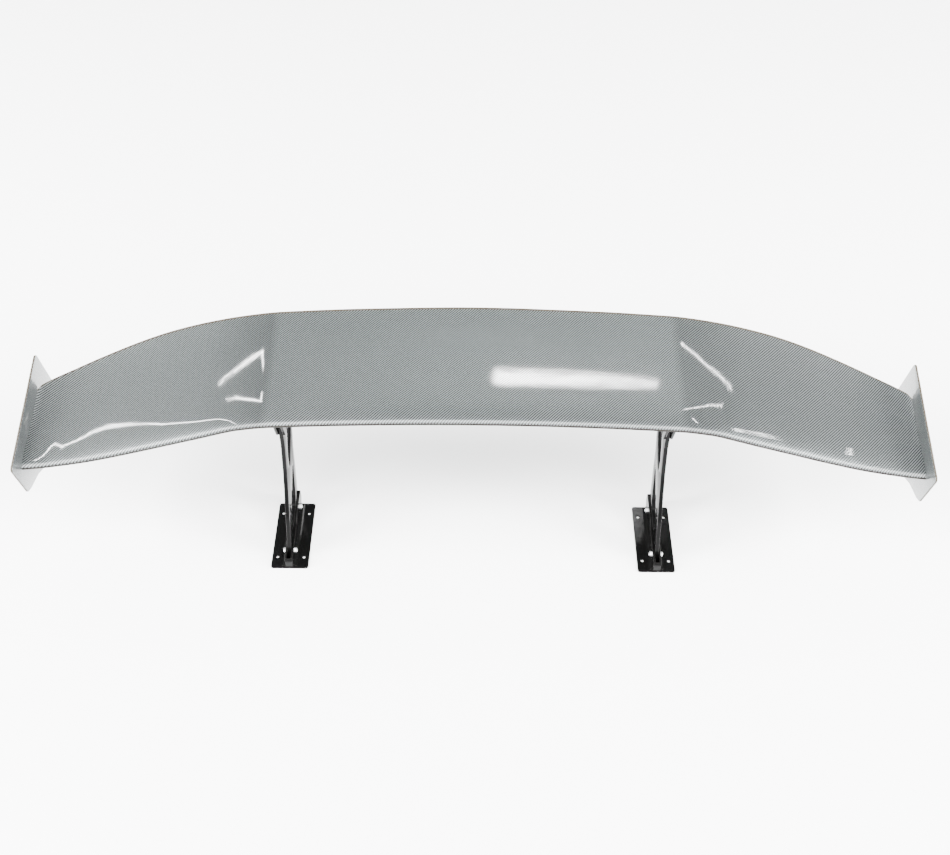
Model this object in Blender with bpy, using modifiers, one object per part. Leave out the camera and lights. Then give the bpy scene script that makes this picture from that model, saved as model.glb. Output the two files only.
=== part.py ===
"""A racing rear wing: a twisted carbon blade between two endplates, carried on two trussed uprights.

Lengths are in millimetres until a mesh is made, when they become metres.
X runs along the span, +Y points to the rear of the car and +Z is up.
The origin is on the mounting plane, under the middle of the whole wing.
"""

from math import atan2, cos, pi, radians, sin, sqrt, tan

import bmesh
import bpy
from mathutils import Matrix, Vector

MM = 0.001
RUNNING_GAP = 0.3
BLOCK_GAP = 1.0
PAD_GAP = 0.35

# Blade
HALF_SPAN = 850.0
NOSE_Y = -95.6
NOSE_Z = 347.0
THICKNESS_RATIO = 0.115
CAMBER_RATIO = 0.05
CAMBER_AT = 0.50
EDGE_THICKNESS = 3.8
SKIN = 1.6
BOND_GAP = 0.2
TIP_CORNER_RADIUS = 9.0
TIP_SWEEP = 57.0
TIP_TRAILING_DROP = 65.0
TWIST_START = 380.0
# Distance from the middle, height of the leading edge, and set-back and rise of the trailing edge.
PLAN_STATIONS = (0.0, 220.0, 380.0, 440.0, 520.0, 620.0, 720.0, 800.0, 850.0)
NOSE_DROP = (0.0, 0.0, 0.0, -4.5, -24.5, -48.0, -69.0, -77.0, -76.0)
TRAILING_SETBACK = (283.0, 276.0, 265.0, 259.0, 251.0, 236.0, 198.0, 155.0, 116.0)
TRAILING_RISE = 30.0
CREASE_END = 430.0
FAIRING_REACH = 60.0
LOFT_STATIONS = (0, 120, 240, 330, 390, 425, 455, 490, 530, 580, 635, 690, 740, 785, 820, 840, 846, 850)

# Stands
STAND_X = 373.0
UPRIGHT_THICKNESS = 8.0
UPRIGHT_FOOT = (-169.1, 5.0)
PIVOT_LOCAL = (238.5, 296.0)
ADJUST_RADIUS = 121.0
ADJUST_ANGLES = (4.0, 8.0, 16.0, 21.0)
ADJUST_SWING = 8.0
EAR_INNER = 4.0 + RUNNING_GAP
EAR_THICKNESS = 5.0
PAD_THICKNESS = 4.0
PIVOT_SHAFT = 3.0
ADJUST_SHAFT = 2.5

# Base brackets
BASE_WIDTH = 76.0
BASE_LENGTH = 165.0
BASE_THICKNESS = 3.5
BASE_CENTRE_Y = UPRIGHT_FOOT[0] + 64.0
BASE_HOLES = (54.0, 111.0)
RIB_WALL = 4.0
RIB_OVERHANG = 9.0
BASE_BOLTS = ((14.0, 14.5), (120.0, 21.0))

# Endplates
ENDPLATE_THICKNESS = 4.0
ENDPLATE_HOLES = (0.0, 58.0, 112.0)
ENDPLATE_FIRST_HOLE = 18.0

PIVOT = (UPRIGHT_FOOT[0] + PIVOT_LOCAL[0], UPRIGHT_FOOT[1] + PIVOT_LOCAL[1])

for old in list(bpy.data.objects):
    bpy.data.objects.remove(old)

wing = bpy.data.collections.new("racing_rear_wing")
cutters = bpy.data.collections.new("cutters")
cutters.hide_render = True
for collection in (wing, cutters):
    bpy.context.scene.collection.children.link(collection)


def material(name, colour, roughness, metallic):
    made = bpy.data.materials.new(name)
    made.use_nodes = True
    shader = made.node_tree.nodes["Principled BSDF"]
    shader.inputs["Base Color"].default_value = (*colour, 1.0)
    shader.inputs["Roughness"].default_value = roughness
    shader.inputs["Metallic"].default_value = metallic
    made.diffuse_color = (*colour, 1.0)
    return made


SILVER_WEAVE = material("silver_weave", (0.45, 0.46, 0.45), 0.25, 0.4)
GELCOAT = material("black_gelcoat", (0.015, 0.015, 0.016), 0.2, 0.0)
CORE = material("laminate_core", (0.10, 0.10, 0.10), 0.6, 0.0)
STEEL = material("zinc_steel", (0.55, 0.56, 0.57), 0.35, 1.0)
BLACK_STEEL = material("black_steel", (0.05, 0.05, 0.05), 0.4, 0.6)


# ---- mesh helpers ----


def place(name, mesh, look, collection=wing):
    made = bpy.data.objects.new(name, mesh)
    collection.objects.link(made)
    if collection is cutters:
        made.hide_render = True
        made.display_type = "WIRE"
    else:
        mesh.materials.append(look)
    return made


def mesh_from(name, points, faces):
    """A closed mesh, in metres, with its faces turned outwards."""
    shape = bmesh.new()
    corners = [shape.verts.new(Vector(p) * MM) for p in points]
    for face in faces:
        shape.faces.new([corners[i] for i in face])
    bmesh.ops.recalc_face_normals(shape, faces=shape.faces)
    mesh = bpy.data.meshes.new(name)
    shape.to_mesh(mesh)
    shape.free()
    return mesh


def loft(name, rings):
    """Skins a row of rings of equal length, and closes both ends."""
    count = len(rings[0])
    points = [p for ring in rings for p in ring]
    faces = []
    for r in range(len(rings) - 1):
        for i in range(count):
            j = (i + 1) % count
            faces.append((r * count + i, r * count + j, (r + 1) * count + j, (r + 1) * count + i))
    faces.append(tuple(range(count)))
    faces.append(tuple(range((len(rings) - 1) * count, len(rings) * count)))
    return mesh_from(name, points, faces)


def slab(name, outline, start, end, axis="X"):
    """Extrudes a flat outline from start to end along X (outline in Y, Z) or along Z (outline in X, Y)."""
    if axis == "X":
        rings = [[(at, a, b) for a, b in outline] for at in (start, end)]
    elif axis == "Y":
        rings = [[(a, at, b) for a, b in outline] for at in (start, end)]
    else:
        rings = [[(a, b, at) for a, b in outline] for at in (start, end)]
    return loft(name, rings)


def rounded(corners, steps=3):
    """An outline with each (a, b, radius) corner rounded to its radius."""
    outline = []
    for k, (a, b, radius) in enumerate(corners):
        before = Vector(corners[k - 1][:2])
        after = Vector(corners[(k + 1) % len(corners)][:2])
        corner = Vector((a, b))
        into = (before - corner).normalized()
        out = (after - corner).normalized()
        half = into.angle(out) / 2
        if radius <= 0 or half > radians(88):
            outline.append((a, b))
            continue
        reach = min(radius / tan(half), 0.48 * (before - corner).length, 0.48 * (after - corner).length)
        radius = reach * tan(half)
        centre = corner + (into + out).normalized() * (radius / sin(half))
        first = corner + into * reach - centre
        last = corner + out * reach - centre
        turn = first.angle_signed(last)
        for step in range(steps + 1):
            spoke = Matrix.Rotation(-turn * step / steps, 2) @ first
            outline.append(tuple(centre + spoke))
    return outline


def circle(a, b, radius, steps=24):
    turns = [2 * pi * i / steps for i in range(steps)]
    return [(a + radius * cos(turn), b + radius * sin(turn)) for turn in turns]


def cut(target, cutter):
    modifier = target.modifiers.new("cut", "BOOLEAN")
    modifier.operation = "DIFFERENCE"
    modifier.solver = "EXACT"
    modifier.object = cutter


def join(target, other):
    modifier = target.modifiers.new("join", "BOOLEAN")
    modifier.operation = "UNION"
    modifier.solver = "EXACT"
    modifier.object = other


def soften(target, width, segments=2):
    modifier = target.modifiers.new("soften", "BEVEL")
    modifier.width = width * MM
    modifier.segments = segments
    modifier.limit_method = "ANGLE"
    modifier.angle_limit = radians(50)


def cutter(name, mesh):
    return place(name, mesh, None, cutters)


# ---- blade geometry ----


def along(stations, values, at):
    """A smooth curve through the stations that never overshoots them."""
    slopes = [(values[i + 1] - values[i]) / (stations[i + 1] - stations[i]) for i in range(len(values) - 1)]
    tangents = [0.0]
    for i in range(1, len(slopes)):
        product = slopes[i - 1] * slopes[i]
        tangents.append(2 * product / (slopes[i - 1] + slopes[i]) if product > 0 else 0.0)
    tangents.append(slopes[-1])
    i = 0
    while i < len(slopes) - 1 and at > stations[i + 1]:
        i += 1
    width = stations[i + 1] - stations[i]
    t = (at - stations[i]) / width
    return (
        (1 + 2 * t) * (1 - t) ** 2 * values[i]
        + t * (1 - t) ** 2 * width * tangents[i]
        + t * t * (3 - 2 * t) * values[i + 1]
        + t * t * (t - 1) * width * tangents[i + 1]
    )


def faired(values, at):
    """The curve through the stations, averaged over a window that opens outboard of the crease.

    The window shuts again at the tip, so the value there is the last station's.
    """
    reach = max(0.0, min(0.5 * (at - CREASE_END), FAIRING_REACH, HALF_SPAN - at))
    return sum(along(PLAN_STATIONS, values, at + reach * k / 6) for k in range(-6, 7)) / 13


def chord_line(x):
    """The leading edge, the chord and the pitch of the section at x."""
    a = abs(x)
    nose = Vector((NOSE_Y - TIP_SWEEP * (a / HALF_SPAN) ** 2, NOSE_Z + faired(NOSE_DROP, a)))
    fade = min(max((a - TWIST_START) / (HALF_SPAN - TWIST_START), 0.0), 1.0)
    fade = fade * fade * (3 - 2 * fade)
    back = NOSE_Y + faired(TRAILING_SETBACK, a)
    corner = a - (HALF_SPAN - TIP_CORNER_RADIUS)
    if corner > 0:
        back -= TIP_CORNER_RADIUS - sqrt(max(TIP_CORNER_RADIUS**2 - corner**2, 0.0))
    tail = Vector((back, NOSE_Z + TRAILING_RISE - TIP_TRAILING_DROP * fade))
    span = tail - nose
    return nose, span.length, atan2(span.y, span.x)


def section(chord, u, side):
    """Camber height and signed half thickness of the section, at the fraction u of the chord."""
    m, p = CAMBER_RATIO, CAMBER_AT
    if u < p:
        camber = -m / p**2 * (2 * p * u - u * u)
    else:
        camber = -m / (1 - p) ** 2 * (1 - 2 * p + 2 * p * u - u * u)
    shape = 0.2969 * sqrt(u) - 0.126 * u - 0.3516 * u**2 + 0.2843 * u**3 - 0.1036 * u**4
    half = 5 * THICKNESS_RATIO * shape
    return camber * chord, side * (half * chord + 0.5 * EDGE_THICKNESS * u)


def skin_point(x, u, side, inset=0.0):
    """A point of the outer surface, or one that is inset towards the middle of the section."""
    nose, chord, pitch = chord_line(x)
    camber, half = section(chord, u, side)
    step = 0.002
    thicker = section(chord, min(u + step, 1), side)[1] - section(chord, max(u - step, 0), side)[1]
    rise = thicker / (2 * step * chord)
    depth = max(abs(half) - inset * sqrt(1 + rise * rise), 0.5 * BOND_GAP)
    a, b = u * chord, camber + side * depth
    return (x, nose.x + a * cos(pitch) - b * sin(pitch), nose.y + a * sin(pitch) + b * cos(pitch))


OUTER = [0.5 * (1 - cos(pi * (i / 15) ** 0.8)) if i < 15 else 1.0 for i in range(16)]
OUTER[1] = 0.004


def skin_ring(x, side):
    """The shell section: out along the surface and back inside, to a flat bonding face at the nose."""
    _, chord, _ = chord_line(x)
    lip = 2.4 / chord
    inner = [u for u in OUTER if u > lip * 1.5]
    ring = [skin_point(x, u, side) for u in OUTER]
    ring += [skin_point(x, u, side, SKIN) for u in reversed(inner)]
    ring += [skin_point(x, lip, side, SKIN), skin_point(x, lip, side, 1000.0)]
    return ring


def span_stations(limit=HALF_SPAN):
    inside = [float(a) for a in LOFT_STATIONS if a < limit]
    positive = inside + [float(limit)]
    return [-a for a in reversed(positive)] + positive[1:]


def inner_outline(x, u_from, u_to, steps, gap=RUNNING_GAP):
    """Ring that fills the hollow between the skins from one chord fraction to another."""
    us = [u_from + (u_to - u_from) * i / steps for i in range(steps + 1)]
    inset = SKIN + gap
    return [skin_point(x, u, 1, inset) for u in us] + [skin_point(x, u, -1, inset) for u in reversed(us)]


def underside(x, u):
    """Point and outward direction of the lower surface, in the plane of the section."""
    here = Vector(skin_point(x, u, -1))
    ahead = Vector(skin_point(x, u + 0.01, -1)) - Vector(skin_point(x, u - 0.01, -1))
    ahead.normalize()
    return here, Vector((0, ahead.z, -ahead.y))


# ---- fasteners ----


def fastener(name, at, direction, shank, length, head, height, look, socket=0.0, sides=20):
    """A screw whose head sits at the point at, outside it, and whose shank runs the other way."""
    profile = [(head * 0.86, height), (head, height * 0.7), (head, 0), (shank, 0), (shank, -length)]
    points = []
    for radius, along_axis in profile:
        for i in range(sides):
            angle = 2 * pi * i / sides
            points.append((radius * cos(angle), radius * sin(angle), along_axis))
    rows = len(profile)
    faces = []
    for r in range(rows - 1):
        for i in range(sides):
            j = (i + 1) % sides
            faces.append((r * sides + i, r * sides + j, (r + 1) * sides + j, (r + 1) * sides + i))
    faces.append(tuple(range((rows - 1) * sides, rows * sides)))
    if socket > 0:
        first = len(points)
        for level in (height, height * 0.35):
            for i in range(6):
                points.append((socket * cos(i * pi / 3), socket * sin(i * pi / 3), level))
        top = list(range(sides))
        for i in range(6):
            j = (i + 1) % 6
            faces.append((first + i, first + j, first + 6 + j, first + 6 + i))
            low = round(i * sides / 6)
            high = round((i + 1) * sides / 6)
            arc = [top[k % sides] for k in range(low, high + 1)]
            faces.append(tuple([first + i] + arc + [first + j]))
        faces.append(tuple(first + 6 + i for i in range(6)))
    else:
        faces.append(tuple(range(sides)))
    made = place(name, mesh_from(name, points, faces), look)
    made.location = Vector(at) * MM
    made.rotation_euler = Vector((0, 0, 1)).rotation_difference(Vector(direction)).to_euler()
    return made


def ring_body(name, at, direction, inner, outer, height, look, sides=20):
    """A washer, or a nut when it has six sides, standing on the point at."""
    rings = []
    if sides == 6:
        inner_ring = [(inner * cos(2 * pi * i / 18), inner * sin(2 * pi * i / 18)) for i in range(18)]
        outer_ring = []
        for i in range(18):
            corner = pi / 3 * (i // 3)
            after = corner + pi / 3
            t = (i % 3) / 3
            outer_ring.append(
                (
                    outer * (cos(corner) * (1 - t) + cos(after) * t),
                    outer * (sin(corner) * (1 - t) + sin(after) * t),
                )
            )
    else:
        inner_ring = circle(0, 0, inner, sides)
        outer_ring = circle(0, 0, outer, sides)
    count = len(inner_ring)
    for level in (0, height):
        rings.append([(a, b, level) for a, b in outer_ring])
        rings.append([(a, b, level) for a, b in inner_ring])
    points = [p for ring in rings for p in ring]
    faces = []
    for first, second in ((0, 1), (1, 3), (3, 2), (2, 0)):
        for i in range(count):
            j = (i + 1) % count
            faces.append((first * count + i, first * count + j, second * count + j, second * count + i))
    made = place(name, mesh_from(name, points, faces), look)
    made.location = Vector(at) * MM
    made.rotation_euler = Vector((0, 0, 1)).rotation_difference(Vector(direction)).to_euler()
    return made


# ---- blade ----

skins = {}
for side, name in ((1, "upper_skin"), (-1, "lower_skin")):
    rings = [skin_ring(x, side) for x in span_stations()]
    skins[name] = place(name, loft(name, rings), SILVER_WEAVE)

for name, u in (("front_spar", 0.26), ("rear_spar", 0.66)):
    rings = [inner_outline(x, u - 0.008, u + 0.008, 1) for x in span_stations(HALF_SPAN - 13)]
    place(name, loft(name, rings), CORE)

# ---- the two sides ----

SCREW_FRACTIONS = (0.33, 0.58)
SCREW_OFFSET = 17.0

for side, label in ((-1, "left"), (1, "right")):
    stand = side * STAND_X

    # Blind block that takes the bracket screws.
    block_rings = [inner_outline(stand + dx, 0.285, 0.635, 8, BLOCK_GAP) for dx in (-26, 0, 26)]
    block = place(f"hardpoint_{label}", loft(f"hardpoint_{label}", block_rings), CORE)

    # Bracket under the blade: a curved pad with two ears.
    pad_rings = []
    pad_fractions = [0.07 + 0.62 * i / 10 for i in range(11)]
    for dx in (-23, 23):
        upper, lower = [], []
        for u in pad_fractions:
            here, outward = underside(stand + dx, u)
            upper.append(tuple(here + outward * PAD_GAP))
            lower.append(tuple(here + outward * (PAD_GAP + PAD_THICKNESS)))
        pad_rings.append(upper + lower[::-1])
    bracket = place(f"wing_bracket_{label}", loft(f"wing_bracket_{label}", pad_rings), GELCOAT)
    soften(bracket, 0.8, 1)
    roof = []
    for u in pad_fractions:
        here, outward = underside(stand, u)
        middle = here + outward * (PAD_GAP + 0.6 * PAD_THICKNESS)
        roof.append((middle.y, middle.z))
    py, pz = PIVOT
    ear_low = [
        (py + 15, pz + 6, 10),
        (py + 10, pz - 10, 9),
        (py - 12, pz - 11, 10),
        (py - 92, pz - 10, 14),
        (py - 106, pz - 33, 7),
        (py - 133, pz - 30, 7),
    ]
    outline = roof + rounded([(roof[-1][0], roof[-1][1], 0)] + ear_low + [(roof[0][0], roof[0][1], 0)])[1:-1]
    for hand in (-1, 1):
        inner, outer = sorted((hand * EAR_INNER, hand * (EAR_INNER + EAR_THICKNESS)))
        ear = cutter(f"ear_{label}_{hand}", slab("ear", outline, stand + inner, stand + outer))
        soften(ear, 0.8, 1)
        join(bracket, ear)
    bore = slab("bore", circle(py, pz, PIVOT_SHAFT + 0.08, 32), stand - 30, stand + 30)
    cut(bracket, cutter(f"pivot_bore_{label}", bore))
    slot = []
    reach = ADJUST_SHAFT + 0.12
    for edge, order in ((1, 1), (-1, -1)):
        for i in range(9):
            swing = radians(ADJUST_ANGLES[0] + ADJUST_SWING * order * (i / 4 - 1) * 1.03)
            radius = ADJUST_RADIUS + edge * reach
            slot.append((py - radius * cos(swing), pz - radius * sin(swing)))
        end = radians(ADJUST_ANGLES[0] + ADJUST_SWING * order * 1.03)
        middle = (py - ADJUST_RADIUS * cos(end), pz - ADJUST_RADIUS * sin(end))
        for i in range(1, 6):
            turn = pi + end + (0 if edge > 0 else pi) + i * pi / 6
            slot.append((middle[0] + reach * cos(turn), middle[1] + reach * sin(turn)))
    cut(bracket, cutter(f"adjust_slot_{label}", slab("slot", slot, stand - 30, stand + 30)))

    # Bracket screws, square to the curved underside.
    number = 0
    for u in SCREW_FRACTIONS:
        for dx in (-SCREW_OFFSET, SCREW_OFFSET):
            number += 1
            here, outward = underside(stand + dx, u)
            seat = here + outward * (PAD_GAP + PAD_THICKNESS + 0.3)
            screw = f"bracket_screw_{label}_{number}"
            fastener(screw, seat, outward, 2.0, 17.0, 4.0, 3.0, BLACK_STEEL, 1.5, 12)
            drill = cutter(f"drill_{label}_{number}", slab("drill", circle(0, 0, 2.4, 12), -20, 20, "Z"))
            drill.location = seat * MM
            drill.rotation_euler = Vector((0, 0, 1)).rotation_difference(outward).to_euler()
            for target in (bracket, block, skins["lower_skin"]):
                cut(target, drill)

    # Upright: a trussed plate that leans to the rear.
    foot_y, foot_z = UPRIGHT_FOOT
    outline = [
        (0, 0, 7),
        (137, 0, 9),
        (163, 104, 30),
        (175, 156, 30),
        (199, 204, 30),
        (249, 302, 6),
        (243, 307, 5),
        (206, 288, 40),
        (150, 288, 40),
        (108, 297, 8),
        (104, 240, 40),
        (86, 184, 40),
        (66, 140, 30),
        (38, 88, 40),
    ]
    outline = rounded([(foot_y + a, foot_z + b, r) for a, b, r in outline])
    half = UPRIGHT_THICKNESS / 2
    body = slab(f"upright_{label}", outline, stand - half, stand + half)
    upright = place(f"upright_{label}", body, GELCOAT)
    upper = [(114, 155, 4), (160, 189, 12), (186, 216, 12), (201, 250, 7), (147, 246, 7), (116, 190, 20)]
    lower = [(147, 139, 4), (100, 101, 20), (77, 78, 12), (56, 34, 5), (108, 41, 8), (122, 56, 12)]
    for window_name, window in (("upper_window", upper), ("lower_window", lower)):
        shape = rounded([(foot_y + a, foot_z + b, r) for a, b, r in window], 3)
        cut(upright, cutter(f"{window_name}_{label}", slab(window_name, shape, stand - 30, stand + 30)))
    soften(upright, 1.2, 1)
    holes = [(py, pz, PIVOT_SHAFT + 0.08)]
    for angle in ADJUST_ANGLES:
        swing = radians(angle)
        holes.append((py - ADJUST_RADIUS * cos(swing), pz - ADJUST_RADIUS * sin(swing), ADJUST_SHAFT + 0.1))
    for a, b in BASE_BOLTS:
        holes.append((foot_y + a, foot_z + b, PIVOT_SHAFT + 0.1))
    for k, (a, b, radius) in enumerate(holes):
        hole = slab("hole", circle(a, b, radius, 20), stand - 6, stand + 6)
        cut(upright, cutter(f"upright_hole_{label}_{k}", hole))

    # Base bracket: plate, flared rib and the slot that takes the upright.
    w, h = BASE_WIDTH / 2, BASE_LENGTH / 2
    plate = rounded(
        [(stand + a, BASE_CENTRE_Y + b, 5) for a, b in ((-w, -h), (w, -h), (w, h), (-w, h))]
    )
    base = place(f"base_{label}", slab(f"base_{label}", plate, 0, BASE_THICKNESS, "Z"), GELCOAT)
    soften(base, 0.8, 1)
    rib_half = UPRIGHT_THICKNESS / 2 + RUNNING_GAP + RIB_WALL
    front, back = BASE_CENTRE_Y - h + 2, BASE_CENTRE_Y + h + RIB_OVERHANG
    flare = [(-rib_half - 8, 1.0), (-rib_half - 8, BASE_THICKNESS)]
    for turn in (pi / 8, pi / 4, 3 * pi / 8):
        flare.append((-rib_half - 8 + 8 * sin(turn), BASE_THICKNESS + 8 * (1 - cos(turn))))
    flare += [(-rib_half, BASE_THICKNESS + 8), (-rib_half + 2, BASE_THICKNESS + 9)]
    flare = [(stand + a, b) for a, b in flare] + [(stand - a, b) for a, b in reversed(flare)]
    join(base, cutter(f"flare_{label}", slab("flare", flare, front + 3, BASE_CENTRE_Y + h - 3, "Y")))
    rib = rounded(
        [
            (front, 1.0, 0),
            (back - 14, 1.0, 14),
            (back, 18, 12),
            (back, 41, 7),
            (back - 62, 41, 20),
            (back - 84, 28, 16),
            (front, 28, 8),
        ]
    )
    rib_solid = cutter(f"rib_{label}", slab("rib", rib, stand - rib_half, stand + rib_half))
    soften(rib_solid, 1.2, 1)
    join(base, rib_solid)
    slot_half = UPRIGHT_THICKNESS / 2 + RUNNING_GAP
    well = rounded(
        [
            (front + 4, 4.5, 3),
            (back - 12, 4.5, 8),
            (back - 5, 20, 4),
            (back - 5, 60, 0),
            (front + 4, 60, 0),
        ]
    )
    cut(base, cutter(f"well_{label}", slab("well", well, stand - slot_half, stand + slot_half)))
    for a in (-BASE_HOLES[0] / 2, BASE_HOLES[0] / 2):
        for b in (-BASE_HOLES[1] / 2, BASE_HOLES[1] / 2):
            drill = slab("fixing", circle(stand + a, BASE_CENTRE_Y + b, 3.2, 20), -5, 10, "Z")
            cut(base, cutter(f"fixing_{label}_{a}_{b}", drill))
    for k, (a, b) in enumerate(BASE_BOLTS):
        at_y, at_z = foot_y + a, foot_z + b
        cross = slab("cross", circle(at_y, at_z, 3.1, 20), stand - 30, stand + 30)
        cut(base, cutter(f"cross_{label}_{k}", cross))
        where = ("front", "rear")[k]
        outer_face = stand + side * (rib_half + 0.1)
        inner_face = stand - side * (rib_half + 0.1)
        length = 2 * rib_half + 7
        bolt_at, nut_at = (outer_face, at_y, at_z), (inner_face, at_y, at_z)
        bolt, nut = f"base_bolt_{where}_{label}", f"base_nut_{where}_{label}"
        fastener(bolt, bolt_at, (side, 0, 0), 3.0, length, 5.2, 4.5, STEEL, 2.6, 12)
        ring_body(nut, nut_at, (-side, 0, 0), 3.08, 5.8, 5.0, STEEL, 6)

    # Pivot and adjuster fasteners.
    ear_face = EAR_INNER + EAR_THICKNESS
    grip = 2 * ear_face + 8
    outer_face = (stand + side * (ear_face + 0.15), py, pz)
    inner_face = (stand - side * (ear_face + 0.15), py, pz)
    fastener(f"pivot_bolt_{label}", outer_face, (side, 0, 0), PIVOT_SHAFT, grip, 5.4, 5.0, STEEL, 2.6, 24)
    ring_body(f"pivot_nut_{label}", inner_face, (-side, 0, 0), PIVOT_SHAFT + 0.08, 5.8, 5.2, STEEL, 6)
    swing = radians(ADJUST_ANGLES[0])
    ay, az = py - ADJUST_RADIUS * cos(swing), pz - ADJUST_RADIUS * sin(swing)
    for hand, where in ((side, "outer"), (-side, "inner")):
        seat = (stand + hand * (ear_face + 0.15), ay, az)
        ring_body(f"adjuster_washer_{where}_{label}", seat, (hand, 0, 0), 2.6, 6.2, 1.2, STEEL, 16)
    outer_face = (stand + side * (ear_face + 1.45), ay, az)
    inner_face = (stand - side * (ear_face + 1.45), ay, az)
    bolt, nut = f"adjuster_bolt_{label}", f"adjuster_nut_{label}"
    fastener(bolt, outer_face, (side, 0, 0), ADJUST_SHAFT, grip + 1, 4.4, 4.2, STEEL, 2.1, 20)
    ring_body(nut, inner_face, (-side, 0, 0), ADJUST_SHAFT + 0.08, 4.7, 4.2, STEEL, 6)

    # Tip rib, endplate and its screws.
    tip = HALF_SPAN * side
    rib_rings = [inner_outline(side * a, 0.06, 0.9, 12, BLOCK_GAP) for a in (837.0, 840.0, 846.0, 849.5)]
    tip_rib = place(f"tip_rib_{label}", loft(f"tip_rib_{label}", rib_rings), CORE)
    nose, chord, pitch = chord_line(HALF_SPAN)

    def on_plate(a, b):
        """From the tip's chord frame, with a backwards from the nose and b upwards."""
        return (nose.x + a * cos(pitch) - b * sin(pitch), nose.y + a * sin(pitch) + b * cos(pitch))

    line = -0.045 * chord
    front_edge = ENDPLATE_FIRST_HOLE - 42
    rear_edge = front_edge + 250
    top, bottom = line + 50, line - 108
    corners = [
        (rear_edge, top, 8),
        (front_edge, top, 8),
        (front_edge - 1, bottom + 64, 8),
        (front_edge + 14, bottom + 52, 14),
        (front_edge + 52, bottom + 32, 40),
        (front_edge + 80, bottom + 6, 30),
        (front_edge + 104, bottom, 20),
        (rear_edge - 2, bottom, 8),
    ]
    outline = [on_plate(a, b) for a, b in rounded(corners)]
    near, far = tip + side * RUNNING_GAP, tip + side * (RUNNING_GAP + ENDPLATE_THICKNESS)
    endplate = place(f"endplate_{label}", slab(f"endplate_{label}", outline, near, far), SILVER_WEAVE)
    soften(endplate, 0.5, 1)
    for k, spacing in enumerate(ENDPLATE_HOLES):
        a = ENDPLATE_FIRST_HOLE + spacing
        camber, _ = section(chord, a / chord, 1)
        hy, hz = on_plate(a, camber)
        hole = slab("hole", circle(hy, hz, 2.6, 16), tip - 12, tip + 12)
        insert = slab("hole", circle(hy, hz, 2.2, 12), tip - 30, tip + 30)
        cut(endplate, cutter(f"plate_hole_{label}_{k}", hole))
        cut(tip_rib, cutter(f"insert_{label}_{k}", insert))
        washer, washer_at = f"endplate_washer_{label}_{k + 1}", (far + side * 0.1, hy, hz)
        ring_body(washer, washer_at, (side, 0, 0), 2.6, 6.0, 1.0, BLACK_STEEL, 12)
        screw, screw_at = f"endplate_screw_{label}_{k + 1}", (far + side * 1.2, hy, hz)
        fastener(screw, screw_at, (side, 0, 0), 2.0, 12.5, 4.2, 2.6, BLACK_STEEL, 1.6, 12)
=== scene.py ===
"""Looks of the racing rear wing.

Silver twill skins and endplates, glossy black stands, plated fasteners and a pale studio.
"""

from math import atan2, cos, pi, radians, sin, sqrt, tan

import bmesh
import bpy
from mathutils import Euler, Matrix, Vector


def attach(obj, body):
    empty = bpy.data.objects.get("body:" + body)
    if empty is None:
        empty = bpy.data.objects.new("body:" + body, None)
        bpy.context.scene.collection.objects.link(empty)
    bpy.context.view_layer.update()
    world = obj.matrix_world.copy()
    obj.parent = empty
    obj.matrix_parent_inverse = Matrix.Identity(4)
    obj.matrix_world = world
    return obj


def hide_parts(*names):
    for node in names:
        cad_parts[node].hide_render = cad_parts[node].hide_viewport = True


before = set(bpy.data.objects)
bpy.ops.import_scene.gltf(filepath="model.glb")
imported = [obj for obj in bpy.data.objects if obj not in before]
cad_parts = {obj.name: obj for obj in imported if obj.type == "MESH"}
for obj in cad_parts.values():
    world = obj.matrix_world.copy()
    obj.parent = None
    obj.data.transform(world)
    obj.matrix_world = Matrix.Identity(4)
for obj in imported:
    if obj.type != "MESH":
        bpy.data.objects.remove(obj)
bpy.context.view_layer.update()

MM = 0.001

# Blade, in millimetres
HALF_SPAN = 850.0
NOSE_Y = -95.6
NOSE_Z = 347.0
THICKNESS_RATIO = 0.115
CAMBER_RATIO = 0.05
CAMBER_AT = 0.50
EDGE_THICKNESS = 3.8
SKIN = 1.6
SEAM_LIP = 2.4
BOND_GAP = 0.2
DEEPER_THAN_THE_BLADE = 1000.0
TIP_CORNER_RADIUS = 9.0
TIP_SWEEP = 57.0
TIP_TRAILING_DROP = 65.0
TWIST_START = 380.0
PLAN_STATIONS = (0.0, 220.0, 380.0, 440.0, 520.0, 620.0, 720.0, 800.0, 850.0)
NOSE_DROP = (0.0, 0.0, 0.0, -4.5, -24.5, -48.0, -69.0, -77.0, -76.0)
TRAILING_SETBACK = (283.0, 276.0, 265.0, 259.0, 251.0, 236.0, 198.0, 155.0, 116.0)
TRAILING_RISE = 30.0
CREASE_END = 430.0
FAIRING_REACH = 60.0
SPAN_STEPS = 170
CHORD_STEPS = 44
INNER_CHORD_STEPS = 14
RESIN_TAIL_FROM = 0.985

# Stands and brackets, in millimetres
STAND_X = 373.0
UPRIGHT_THICKNESS = 8.0
UPRIGHT_FOOT = (-169.1, 5.0)
PIVOT = (69.4, 301.0)
PIVOT_HOLE = 3.15
ADJUST_RADIUS = 121.0
ADJUST_ANGLES = (4.0, 8.0, 16.0, 21.0)
ADJUST_HOLE = 2.6
BASE_BOLTS = ((14.0, 14.5), (120.0, 21.0))
BASE_HOLE = 3.1

# Endplates, in millimetres
ENDPLATE_GAP = 0.3
ENDPLATE_THICKNESS = 4.0
ENDPLATE_LENGTH = 250.0
ENDPLATE_ABOVE = 50.0
ENDPLATE_BELOW = 108.0
ENDPLATE_AHEAD_OF_HOLE = 42.0
ENDPLATE_FIRST_HOLE = 18.0
ENDPLATE_HOLES = (0.0, 58.0, 112.0)
ENDPLATE_HOLE = 2.6

# Cloth: the width of a tow in millimetres, and the band of painted shade outboard of each crease in
# metres, where the drooping surface turns away from the lamps
TOW = 1.42
CREASE_SHADE_START = 0.385
CREASE_SHADE_END = 0.53

# ---- materials ----


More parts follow.
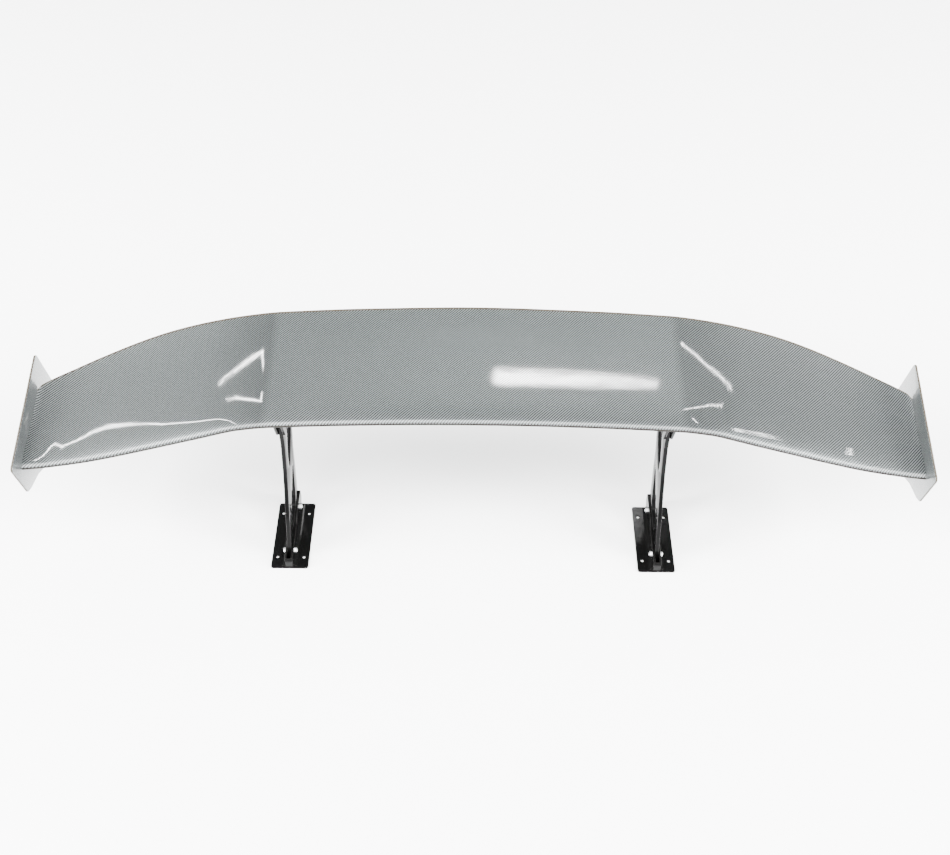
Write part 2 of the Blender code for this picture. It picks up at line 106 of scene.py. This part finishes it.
class Nodes:
    """Short forms for building a node material."""

    def __init__(self, name):
        self.material = bpy.data.materials.new(name)
        self.material.use_nodes = True
        self.tree = self.material.node_tree
        self.shader = self.tree.nodes["Principled BSDF"]

    def add(self, kind, inputs=None, **settings):
        node = self.tree.nodes.new(kind)
        for key, value in settings.items():
            setattr(node, key, value)
        for key, value in (inputs or {}).items():
            self.give(node, key, value)
        return node

    def give(self, node, key, value):
        if isinstance(value, bpy.types.NodeSocket):
            self.tree.links.new(value, node.inputs[key])
        else:
            node.inputs[key].default_value = value

    def math(self, operation, a, b=0.0, c=0.0):
        node = self.add("ShaderNodeMath", {0: a, 1: b, 2: c}, operation=operation)
        return node.outputs[0]

    def mix(self, factor, a, b):
        node = self.add("ShaderNodeMix", data_type="RGBA")
        for key, value in (("Factor", factor), (6, a), (7, b)):
            self.give(node, key, value)
        return node.outputs[2]

    def principled(self, **values):
        for key, value in values.items():
            self.give(self.shader, key.replace("_", " "), value)


def grey(value, tint=(1.0, 1.0, 1.0)):
    return (value * tint[0], value * tint[1], value * tint[2], 1.0)


def twill(name, across, up):
    """Clear-coated silver 2x2 twill; across and up number the object axes that the tows follow."""
    n = Nodes(name)
    place = n.add("ShaderNodeTexCoord").outputs["Object"]
    wander = n.add("ShaderNodeTexNoise", {"Vector": place, "Scale": 9.0, "Detail": 2.0})
    axes = n.add("ShaderNodeSeparateXYZ", {"Vector": place})
    drift = n.math("MULTIPLY_ADD", wander.outputs["Fac"], 0.006, -0.003)
    u = n.math("DIVIDE", n.math("ADD", axes.outputs[across], drift), TOW * MM)
    v = n.math("DIVIDE", axes.outputs[up], TOW * MM)
    order = n.math("FLOORED_MODULO", n.math("SUBTRACT", n.math("FLOOR", u), n.math("FLOOR", v)), 4.0)
    warp = n.math("LESS_THAN", order, 1.5)
    crown_u = n.math("SINE", n.math("MULTIPLY", n.math("FRACT", u), pi))
    crown_v = n.math("SINE", n.math("MULTIPLY", n.math("FRACT", v), pi))
    crowns = n.add("ShaderNodeMix", {0: warp, 2: crown_v, 3: crown_u}, data_type="FLOAT")
    tow_height = crowns.outputs[0]
    cloud = n.add("ShaderNodeTexNoise", {"Vector": place, "Scale": 3.2, "Detail": 3.0, "Roughness": 0.6})
    speck = n.add("ShaderNodeTexNoise", {"Vector": place, "Scale": 330.0, "Detail": 1.0})
    outboard = n.math("MULTIPLY", axes.outputs["X"], axes.outputs["X"])
    outboard = n.math("MINIMUM", n.math("MULTIPLY", outboard, 2.4), 1.0)
    # Painted shade: a darker band outboard of each crease, where the surface turns down away from the
    # light.
    across_span = n.math("ABSOLUTE", axes.outputs["X"])
    onset = n.math("MULTIPLY", n.math("SUBTRACT", across_span, CREASE_SHADE_START), 60.0)
    onset = n.math("SMOOTH_MIN", onset, 1.0, 0.2)
    fading = n.math("MULTIPLY", n.math("SUBTRACT", CREASE_SHADE_END, across_span), 8.0)
    crease_shade = n.math("MAXIMUM", n.math("MINIMUM", onset, fading), 0.0)
    pale = n.math("MULTIPLY_ADD", cloud.outputs["Fac"], 0.6, n.math("MULTIPLY", outboard, 0.15))
    light = n.mix(pale, grey(0.115, (0.84, 1.0, 1.0)), grey(0.20, (0.95, 1.0, 1.01)))
    dark = n.mix(pale, grey(0.014, (0.88, 1.0, 0.98)), grey(0.002, (0.96, 1.0, 1.02)))
    cell = n.mix(warp, dark, light)
    # Painted shade: each tow darkens towards its edges, where it dips under its neighbours; the speck
    # noise is grain.
    shade = n.math("MULTIPLY_ADD", tow_height, 0.34, 0.66)
    shade = n.math("MULTIPLY", shade, n.math("MULTIPLY_ADD", speck.outputs["Fac"], 0.5, 0.75))
    shade = n.math("MULTIPLY", shade, n.math("MULTIPLY_ADD", crease_shade, -0.32, 1.0))
    hsv = n.add("ShaderNodeHueSaturation", {"Color": cell, "Value": shade})
    bump = n.add("ShaderNodeBump", {"Height": tow_height, "Strength": 0.35, "Distance": 0.00025})
    ripple = n.add("ShaderNodeTexNoise", {"Vector": place, "Scale": 26.0, "Detail": 2.0})
    orange_peel = n.add(
        "ShaderNodeBump",
        {"Height": ripple.outputs["Fac"], "Strength": 0.05, "Distance": 0.001},
    )
    print_through = n.add(
        "ShaderNodeBump",
        {
            "Height": tow_height,
            "Strength": 0.008,
            "Distance": 0.00025,
            "Normal": orange_peel.outputs["Normal"],
        },
    )
    n.principled(
        Base_Color=hsv.outputs["Color"],
        Metallic=0.72,
        Roughness=n.math("MULTIPLY_ADD", warp, -0.12, 0.46),
        Normal=bump.outputs["Normal"],
        Coat_Weight=1.0,
        Coat_Roughness=0.03,
        Coat_IOR=1.5,
        Coat_Normal=print_through.outputs["Normal"],
    )
    return n.material


def gelcoat(name):
    """Deep black glossy gelcoat with a faint ripple, dust and paler worn edges."""
    n = Nodes(name)
    place = n.add("ShaderNodeTexCoord").outputs["Object"]
    ripple = n.add("ShaderNodeTexNoise", {"Vector": place, "Scale": 38.0, "Detail": 2.0})
    dust = n.add("ShaderNodeTexNoise", {"Vector": place, "Scale": 190.0, "Detail": 4.0, "Roughness": 0.7})
    edge = n.add("ShaderNodeBevel", {"Radius": 0.0012}, samples=4)
    flat = n.add("ShaderNodeNewGeometry")
    apart = n.add(
        "ShaderNodeVectorMath",
        {0: edge.outputs["Normal"], 1: flat.outputs["Normal"]},
        operation="DOT_PRODUCT",
    )
    worn = n.math("MULTIPLY", n.math("SUBTRACT", 1.0, apart.outputs["Value"]), 3.0)
    worn = n.math("MINIMUM", n.math("MULTIPLY", worn, dust.outputs["Fac"]), 0.7)
    bump = n.add(
        "ShaderNodeBump",
        {
            "Height": ripple.outputs["Fac"],
            "Strength": 0.12,
            "Distance": 0.001,
            "Normal": edge.outputs["Normal"],
        },
    )
    n.principled(
        Base_Color=n.mix(worn, grey(0.002), grey(0.025, (1.0, 0.93, 0.86))),
        Roughness=n.math("MULTIPLY_ADD", dust.outputs["Fac"], 0.20, 0.04),
        Normal=bump.outputs["Normal"],
        Specular_IOR_Level=0.05,
    )
    return n.material


def metal(name, value, roughness, metallic=1.0, tint=(1.0, 1.0, 1.0)):
    """Plated or blackened steel with fine grain and rounded edges."""
    n = Nodes(name)
    place = n.add("ShaderNodeTexCoord").outputs["Object"]
    grain = n.add("ShaderNodeTexNoise", {"Vector": place, "Scale": 700.0, "Detail": 3.0})
    blotch = n.add("ShaderNodeTexNoise", {"Vector": place, "Scale": 120.0, "Detail": 2.0})
    edge = n.add("ShaderNodeBevel", {"Radius": 0.0005}, samples=4)
    bump = n.add(
        "ShaderNodeBump",
        {
            "Height": grain.outputs["Fac"],
            "Strength": 0.1,
            "Distance": 0.0002,
            "Normal": edge.outputs["Normal"],
        },
    )
    n.principled(
        Base_Color=n.mix(blotch.outputs["Fac"], grey(value * 0.85, tint), grey(value * 1.1, tint)),
        Metallic=metallic,
        Roughness=n.math("MULTIPLY_ADD", grain.outputs["Fac"], 0.2, roughness - 0.1),
        Normal=bump.outputs["Normal"],
    )
    return n.material


def resin(name, first, second):
    """Bare resin, raw laminate or the dark resin of painted shade, a little uneven in colour."""
    n = Nodes(name)
    place = n.add("ShaderNodeTexCoord").outputs["Object"]
    patch = n.add("ShaderNodeTexNoise", {"Vector": place, "Scale": 85.0, "Detail": 4.0, "Roughness": 0.7})
    bump = n.add("ShaderNodeBump", {"Height": patch.outputs["Fac"], "Strength": 0.3, "Distance": 0.0005})
    n.principled(
        Base_Color=n.mix(patch.outputs["Fac"], first, second),
        Roughness=n.math("MULTIPLY_ADD", patch.outputs["Fac"], 0.2, 0.35),
        Specular_IOR_Level=0.15,
        Normal=bump.outputs["Normal"],
    )
    return n.material


BLADE_TWILL = twill("silver_twill_blade", 0, 1)
PLATE_TWILL = twill("silver_twill_endplate", 1, 2)
BLACK = gelcoat("black_gelcoat")
ZINC = metal("zinc_plated_steel", 0.55, 0.34)
DARK_STEEL = metal("black_oxide_steel", 0.07, 0.42, 0.7)
# Resin for the cut edges, also used as painted shade on the underside behind the nose.
RESIN_EDGE_AND_NOSE_SHADE = resin("resin_edge_and_nose_shade", (0.022, 0.018, 0.013, 1.0), (0.045, 0.037, 0.027, 1.0))
# Near-black resin for the painted shade along the underside of the nose.
NOSE_SHADE_DARK = resin("nose_shade_dark", (0.003, 0.0027, 0.0022, 1.0), (0.012, 0.010, 0.008, 1.0))
CORE = resin("bare_laminate", (0.05, 0.05, 0.05, 1.0), (0.11, 0.10, 0.09, 1.0))

# ---- meshes ----


def from_points(name, points, faces, looks, indices=None, smooth=None):
    """A new object from points in millimetres, smooth-shaded below the given angle."""
    shape = bmesh.new()
    corners = [shape.verts.new(Vector(p) * MM) for p in points]
    for k, face in enumerate(faces):
        made = shape.faces.new([corners[i] for i in face])
        made.material_index = indices[k] if indices else 0
    bmesh.ops.recalc_face_normals(shape, faces=shape.faces)
    mesh = bpy.data.meshes.new(name)
    shape.to_mesh(mesh)
    shape.free()
    made = bpy.data.objects.new(name, mesh)
    bpy.context.scene.collection.objects.link(made)
    for look in looks:
        mesh.materials.append(look)
    if smooth:
        shade(mesh, smooth)
    return made


def shade(mesh, degrees):
    mesh.shade_smooth()
    mesh.set_sharp_from_angle(angle=radians(degrees))


def slab(name, outline, start, end, looks=(), upright=False):
    """A plate with this outline, from start to end along X, or along Z if it's upright."""
    count = len(outline)
    ends = [(at, a, b) for at in (start, end) for a, b in outline]
    points = [(a, b, at) for at, a, b in ends] if upright else ends
    faces = [(i, (i + 1) % count, count + (i + 1) % count, count + i) for i in range(count)]
    faces += [tuple(range(count)), tuple(range(count, 2 * count))]
    return from_points(name, points, faces, looks)


def rounded(corners, steps=9):
    """An outline with each (a, b, radius) corner rounded to its radius."""
    outline = []
    for k, (a, b, radius) in enumerate(corners):
        before = Vector(corners[k - 1][:2])
        after = Vector(corners[(k + 1) % len(corners)][:2])
        corner = Vector((a, b))
        into = (before - corner).normalized()
        out = (after - corner).normalized()
        half = into.angle(out) / 2
        if radius <= 0 or half > radians(88):
            outline.append((a, b))
            continue
        reach = min(radius / tan(half), 0.48 * (before - corner).length, 0.48 * (after - corner).length)
        radius = reach * tan(half)
        centre = corner + (into + out).normalized() * (radius / sin(half))
        first = corner + into * reach - centre
        last = corner + out * reach - centre
        turn = first.angle_signed(last)
        for step in range(steps + 1):
            spoke = Matrix.Rotation(-turn * step / steps, 2) @ first
            outline.append(tuple(centre + spoke))
    return outline


def circle(a, b, radius, steps=40):
    turns = [2 * pi * i / steps for i in range(steps)]
    return [(a + radius * cos(turn), b + radius * sin(turn)) for turn in turns]


def shaped(target, steps):
    """Applies bevels (kind, width, segments) and Booleans (kind, other object) to the target."""
    used = []
    for kind, other, *segments in steps:
        if kind == "BEVEL":
            modifier = target.modifiers.new("edge", "BEVEL")
            modifier.width = other * MM
            modifier.segments = segments[0]
            modifier.limit_method = "ANGLE"
            modifier.angle_limit = radians(50)
        else:
            modifier = target.modifiers.new("solid", "BOOLEAN")
            modifier.operation = kind
            modifier.solver = "EXACT"
            modifier.object = other
            used.append(other)
    graph = bpy.context.evaluated_depsgraph_get()
    mesh = bpy.data.meshes.new_from_object(target.evaluated_get(graph))
    target.modifiers.clear()
    target.data = mesh
    for other in used:
        bpy.data.objects.remove(other)
    shade(mesh, 32)
    return target


# ---- blade geometry ----


def along(stations, values, at):
    """A smooth curve through the stations that never overshoots them."""
    slopes = [
        (values[i + 1] - values[i]) / (stations[i + 1] - stations[i])
        for i in range(len(values) - 1)
    ]
    tangents = [0.0]
    for i in range(1, len(slopes)):
        product = slopes[i - 1] * slopes[i]
        tangents.append(2 * product / (slopes[i - 1] + slopes[i]) if product > 0 else 0.0)
    tangents.append(slopes[-1])
    i = 0
    while i < len(slopes) - 1 and at > stations[i + 1]:
        i += 1
    width = stations[i + 1] - stations[i]
    t = (at - stations[i]) / width
    return (
        (1 + 2 * t) * (1 - t) ** 2 * values[i]
        + t * (1 - t) ** 2 * width * tangents[i]
        + t * t * (3 - 2 * t) * values[i + 1]
        + t * t * (t - 1) * width * tangents[i + 1]
    )


def faired(values, at):
    """The curve through the stations, averaged over a window that opens outboard of the crease.

    The window shuts again at the tip, so the value there is the last station's.
    """
    reach = max(0.0, min(0.5 * (at - CREASE_END), FAIRING_REACH, HALF_SPAN - at))
    return sum(along(PLAN_STATIONS, values, at + reach * k / 6) for k in range(-6, 7)) / 13


def chord_line(x):
    """The leading edge, the chord and the pitch of the section at x."""
    a = abs(x)
    nose = Vector((NOSE_Y - TIP_SWEEP * (a / HALF_SPAN) ** 2, NOSE_Z + faired(NOSE_DROP, a)))
    fade = min(max((a - TWIST_START) / (HALF_SPAN - TWIST_START), 0.0), 1.0)
    fade = fade * fade * (3 - 2 * fade)
    back = NOSE_Y + faired(TRAILING_SETBACK, a)
    corner = a - (HALF_SPAN - TIP_CORNER_RADIUS)
    if corner > 0:
        back -= TIP_CORNER_RADIUS - sqrt(max(TIP_CORNER_RADIUS**2 - corner**2, 0.0))
    tail = Vector((back, NOSE_Z + TRAILING_RISE - TIP_TRAILING_DROP * fade))
    span = tail - nose
    return nose, span.length, atan2(span.y, span.x)


def on_section(nose, pitch, a, b):
    """The place (y, z) of a point a along the chord and b above it."""
    return (nose.x + a * cos(pitch) - b * sin(pitch), nose.y + a * sin(pitch) + b * cos(pitch))


def section(chord, u, side):
    """Camber height and signed half thickness of the section, at the fraction u of the chord."""
    m, p = CAMBER_RATIO, CAMBER_AT
    if u < p:
        camber = -m / p**2 * (2 * p * u - u * u)
    else:
        camber = -m / (1 - p) ** 2 * (1 - 2 * p + 2 * p * u - u * u)
    shape = 0.2969 * sqrt(u) - 0.126 * u - 0.3516 * u**2 + 0.2843 * u**3 - 0.1036 * u**4
    half = 5 * THICKNESS_RATIO * shape
    return camber * chord, side * (half * chord + 0.5 * EDGE_THICKNESS * u)


def skin_point(x, u, side, inset=0.0):
    """A point of the outer surface, or one that is inset towards the middle of the section."""
    nose, chord, pitch = chord_line(x)
    camber, half = section(chord, u, side)
    step = 0.002
    thicker = section(chord, min(u + step, 1), side)[1] - section(chord, max(u - step, 0), side)[1]
    rise = thicker / (2 * step * chord)
    depth = max(abs(half) - inset * sqrt(1 + rise * rise), 0.5 * BOND_GAP)
    return (x, *on_section(nose, pitch, u * chord, camber + side * depth))


def blade_skin(name, side):
    """One moulded skin, with bare resin at its tail and its tips and, below, a strip of dark resin behind
    the nose seam as painted shade for the underside of the nose.
    """
    outer = [0.5 * (1 - cos(pi * (i / CHORD_STEPS) ** 1.25)) for i in range(CHORD_STEPS)]
    outer = [u for u in outer if u < 0.98] + [RESIN_TAIL_FROM, 1.0]
    inner = [0.02 + 0.98 * i / INNER_CHORD_STEPS for i in range(INNER_CHORD_STEPS, -1, -1)]
    span = [-HALF_SPAN * cos(pi * i / SPAN_STEPS) for i in range(SPAN_STEPS + 1)]
    span = [0.55 * HALF_SPAN * (2 * i / SPAN_STEPS - 1) + 0.45 * x for i, x in enumerate(span)]
    points, faces, indices = [], [], []
    for x in span:
        _, chord, _ = chord_line(x)
        lip = SEAM_LIP / chord
        points += [skin_point(x, u, side) for u in outer]
        points += [skin_point(x, u, side, SKIN) for u in inner]
        points.append(skin_point(x, lip, side, SKIN))
        points.append(skin_point(x, lip, side, DEEPER_THAN_THE_BLADE))
    count = len(points) // len(span)
    tail = range(len(outer) - 2, len(outer) + 1)
    # Painted shade: on the lower skin the first faces behind the nose take the dark resin.
    under_nose_shade = range(1, 7) if side < 0 else ()
    for r in range(len(span) - 1):
        for i in range(count):
            j = (i + 1) % count
            faces.append((r * count + i, r * count + j, (r + 1) * count + j, (r + 1) * count + i))
            indices.append(1 if i in tail or i in under_nose_shade else 0)
    faces += [tuple(range(count)), tuple(range((len(span) - 1) * count, len(span) * count))]
    indices += [1, 1]
    return from_points(name, points, faces, (BLADE_TWILL, RESIN_EDGE_AND_NOSE_SHADE), indices, 40)


upper = blade_skin("blade_upper_skin", 1)
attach(upper, "wing")
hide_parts("upper_skin")
lower = blade_skin("blade_lower_skin", -1)
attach(lower, "wing")
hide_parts("lower_skin")


def nose_shade_line_mesh():
    """A near-black bead along the seam of the leading edge, painted shade standing in for the shadowed
    underside of the nose.
    """
    points, faces = [], []
    sides = 8
    steps = 200
    for i in range(steps + 1):
        x = (HALF_SPAN - 0.5) * (2 * i / steps - 1)
        nose, _, pitch = chord_line(x)
        for k in range(sides):
            turn = 2 * pi * k / sides
            a, b = 0.2 + 1.7 * cos(turn), 2.4 * sin(turn) - 1.1
            points.append((x, *on_section(nose, pitch, a, b)))
    for r in range(steps):
        for k in range(sides):
            j = (k + 1) % sides
            faces.append((r * sides + k, r * sides + j, (r + 1) * sides + j, (r + 1) * sides + k))
    faces += [tuple(range(sides)), tuple(range(steps * sides, (steps + 1) * sides))]
    return from_points("nose_shade_strip", points, faces, (NOSE_SHADE_DARK,), None, 60)


# Painted shade: a near-black bead along the nose seam.
nose_shade_line = nose_shade_line_mesh()
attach(nose_shade_line, "wing")

# ---- stands and endplates ----

for side, label in ((-1, "left"), (1, "right")):
    stand = side * STAND_X
    foot_y, foot_z = UPRIGHT_FOOT
    py, pz = PIVOT
    outline = [
        (0, 0, 7),
        (137, 0, 9),
        (163, 104, 30),
        (175, 156, 30),
        (199, 204, 30),
        (249, 302, 6),
        (243, 307, 5),
        (206, 288, 40),
        (150, 288, 40),
        (108, 297, 8),
        (104, 240, 40),
        (86, 184, 40),
        (66, 140, 30),
        (38, 88, 40),
    ]
    outline = rounded([(foot_y + a, foot_z + b, r) for a, b, r in outline])
    half = UPRIGHT_THICKNESS / 2
    upright = slab(f"truss_upright_{label}", outline, stand - half, stand + half, (BLACK,))
    windows = [
        [(114, 155, 4), (160, 189, 12), (186, 216, 12), (201, 250, 7), (147, 246, 7), (116, 190, 20)],
        [(147, 139, 4), (100, 101, 20), (77, 78, 12), (56, 34, 5), (108, 41, 8), (122, 56, 12)],
    ]
    steps = []
    for window in windows:
        shape = rounded([(foot_y + a, foot_z + b, r) for a, b, r in window])
        steps.append(("DIFFERENCE", slab("window", shape, stand - 30, stand + 30)))
    steps.append(("BEVEL", 1.5, 4))
    holes = [(py, pz, PIVOT_HOLE)]
    for angle in ADJUST_ANGLES:
        swing = radians(angle)
        hole_y, hole_z = py - ADJUST_RADIUS * cos(swing), pz - ADJUST_RADIUS * sin(swing)
        holes.append((hole_y, hole_z, ADJUST_HOLE))
    for a, b in BASE_BOLTS:
        holes.append((foot_y + a, foot_z + b, BASE_HOLE))
    for a, b, radius in holes:
        steps.append(("DIFFERENCE", slab("hole", circle(a, b, radius), stand - 9, stand + 9)))
    shaped(upright, steps)
    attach(upright, "stands")
    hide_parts(f"upright_{label}")

    tip = HALF_SPAN * side
    nose, chord, pitch = chord_line(HALF_SPAN)
    line = -0.045 * chord
    front_edge = ENDPLATE_FIRST_HOLE - ENDPLATE_AHEAD_OF_HOLE
    rear_edge = front_edge + ENDPLATE_LENGTH
    top, bottom = line + ENDPLATE_ABOVE, line - ENDPLATE_BELOW
    corners = [
        (rear_edge, top, 8),
        (front_edge, top, 8),
        (front_edge - 1, bottom + 64, 8),
        (front_edge + 14, bottom + 52, 14),
        (front_edge + 52, bottom + 32, 40),
        (front_edge + 80, bottom + 6, 30),
        (front_edge + 104, bottom, 20),
        (rear_edge - 2, bottom, 8),
    ]
    outline = [on_section(nose, pitch, a, b) for a, b in rounded(corners)]
    near = tip + side * ENDPLATE_GAP
    far = tip + side * (ENDPLATE_GAP + ENDPLATE_THICKNESS)
    plate = slab(f"endplate_panel_{label}", outline, near, far, (PLATE_TWILL,))
    steps = [("BEVEL", 0.7, 3)]
    for spacing in ENDPLATE_HOLES:
        a = ENDPLATE_FIRST_HOLE + spacing
        hole_y, hole_z = on_section(nose, pitch, a, section(chord, a / chord, 1)[0])
        hole = circle(hole_y, hole_z, ENDPLATE_HOLE)
        steps.append(("DIFFERENCE", slab("hole", hole, tip - 12, tip + 12)))
    shaped(plate, steps)
    plate.data.materials.append(RESIN_EDGE_AND_NOSE_SHADE)
    for face in plate.data.polygons:
        face.material_index = 0 if abs(face.normal.x) > 0.6 else 1
    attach(plate, "wing")
    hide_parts(f"endplate_{label}")

LOOKS = (
    (("base_left", "base_right", "wing_bracket"), BLACK),
    (("bracket_screw", "endplate_screw", "endplate_washer"), DARK_STEEL),
    (("base_bolt", "base_nut", "pivot", "adjuster"), ZINC),
)
for name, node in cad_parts.items():
    for slot in node.material_slots:
        slot.material = next((look for starts, look in LOOKS if name.startswith(starts)), CORE)

# ---- studio: lengths in metres, apart from the floor ----

FLOOR_HALF = 9000
CEILING = 2.8
LAMP_TARGET = Vector((0, 0, 0.35))


def floor():
    """A wide pale plate whose top is at height 0."""
    far = FLOOR_HALF
    outline = [(-far, -far), (far, -far), (far, far), (-far, far)]
    made = slab("studio_floor", outline, -20.0, 0.0, upright=True)
    n = Nodes("pale_floor")
    place = n.add("ShaderNodeTexCoord").outputs["Object"]
    cloud = n.add("ShaderNodeTexNoise", {"Vector": place, "Scale": 2.0, "Detail": 2.0})
    n.principled(
        Base_Color=n.mix(cloud.outputs["Fac"], grey(0.90), grey(0.93)),
        Roughness=0.7,
        Specular_IOR_Level=0.2,
    )
    made.data.materials.append(n.material)


def lamp(name, place, aim, width, height, power):
    """A soft rectangular lamp that faces the aim."""
    light = bpy.data.lights.new(name, "AREA")
    light.shape = "RECTANGLE"
    light.size = width
    light.size_y = height
    light.energy = power
    made = bpy.data.objects.new(name, light)
    made.location = place
    made.rotation_euler = (Vector(aim) - Vector(place)).to_track_quat("-Z", "Y").to_euler()
    bpy.context.scene.collection.objects.link(made)
    return made


def tube(name, start, end, width, radiance):
    """A ceiling tube between two points of the plan, CEILING metres up, facing the wing."""
    first, last = Vector((*start, CEILING)), Vector((*end, CEILING))
    middle = (first + last) / 2
    length = (last - first).length
    made = lamp(name, middle, LAMP_TARGET, length, width, radiance * pi * length * width)
    along_tube = (last - first).normalized()
    facing = middle - LAMP_TARGET
    facing = (facing - along_tube * facing.dot(along_tube)).normalized()
    side = facing.cross(along_tube)
    made.rotation_euler = Matrix((along_tube, side, facing)).transposed().to_euler()


floor()
lamp("overhead_softbox", (0.0, -2.6, 4.2), (0.0, 0.0, 0.2), 8.0, 4.0, 1500.0)
for way in (-1, 1):
    lamp(f"side_softbox_{way}", (way * 5.6, -1.0, 3.0), (0.0, -0.3, 0.0), 2.4, 3.6, 2600.0)
lamp("front_fill", (0.0, -4.0, 1.6), (0.0, 0.0, 0.25), 3.0, 1.4, 60.0)
# Each tube: its two ends in plan, its width, and its radiance
CEILING_TUBES = {
    "panel": ((0.09, 2.07), (0.83, 2.045), 0.10, 140.0),
    "left_long": ((-1.21, 1.78), (-2.03, 2.09), 0.022, 150.0),
    "left_far": ((-2.03, 2.09), (-2.40, 2.18), 0.012, 150.0),
    "left_short": ((-1.23, 1.79), (-1.24, 1.95), 0.020, 150.0),
    "left_corner": ((-2.73, 1.71), (-1.98, 0.97), 0.020, 150.0),
    "left_edge": ((-1.98, 0.97), (-1.52, 0.10), 0.024, 150.0),
    "left_front": ((-1.60, -2.10), (-2.13, -2.85), 0.050, 45.0),
    "right_near": ((1.05, 1.62), (1.69, 1.93), 0.010, 170.0),
    "right_far": ((1.69, 1.93), (2.39, 2.17), 0.010, 170.0),
    "right_short": ((1.22, 1.25), (1.26, 0.82), 0.020, 130.0),
    "right_corner": ((2.46, 1.22), (2.38, 0.80), 0.012, 130.0),
}
for name, (start, end, width, radiance) in CEILING_TUBES.items():
    tube(f"ceiling_{name}", start, end, width, radiance)

world = bpy.data.worlds.new("studio_air")
world.use_nodes = True
background = world.node_tree.nodes["Background"]
background.inputs["Color"].default_value = (0.97, 1.0, 1.0, 1.0)
background.inputs["Strength"].default_value = 0.95
bpy.context.scene.world = world

# ---- camera: looks down on the blade from ahead of its leading edge ----

PITCH = radians(48.97)
ROLL = radians(0.62)
DISTANCE = 2.218
LENS_MM = 45.1
VIEW_SHIFT = 0.006
target = Vector((0.001, NOSE_Y * MM, NOSE_Z * MM))
forward = Vector((0, cos(PITCH), -sin(PITCH)))
upward = Vector((0, sin(PITCH), cos(PITCH)))
camera = bpy.data.cameras.new("camera")
camera.lens = LENS_MM
camera.clip_end = 50.0
eye = bpy.data.objects.new("camera", camera)
eye.location = target - forward * DISTANCE - upward * VIEW_SHIFT
tilt = Euler((pi / 2 - PITCH, 0, 0)).to_matrix()
eye.rotation_euler = (tilt @ Matrix.Rotation(ROLL, 3, "Z")).to_euler()
bpy.context.scene.collection.objects.link(eye)
bpy.context.scene.camera = eye
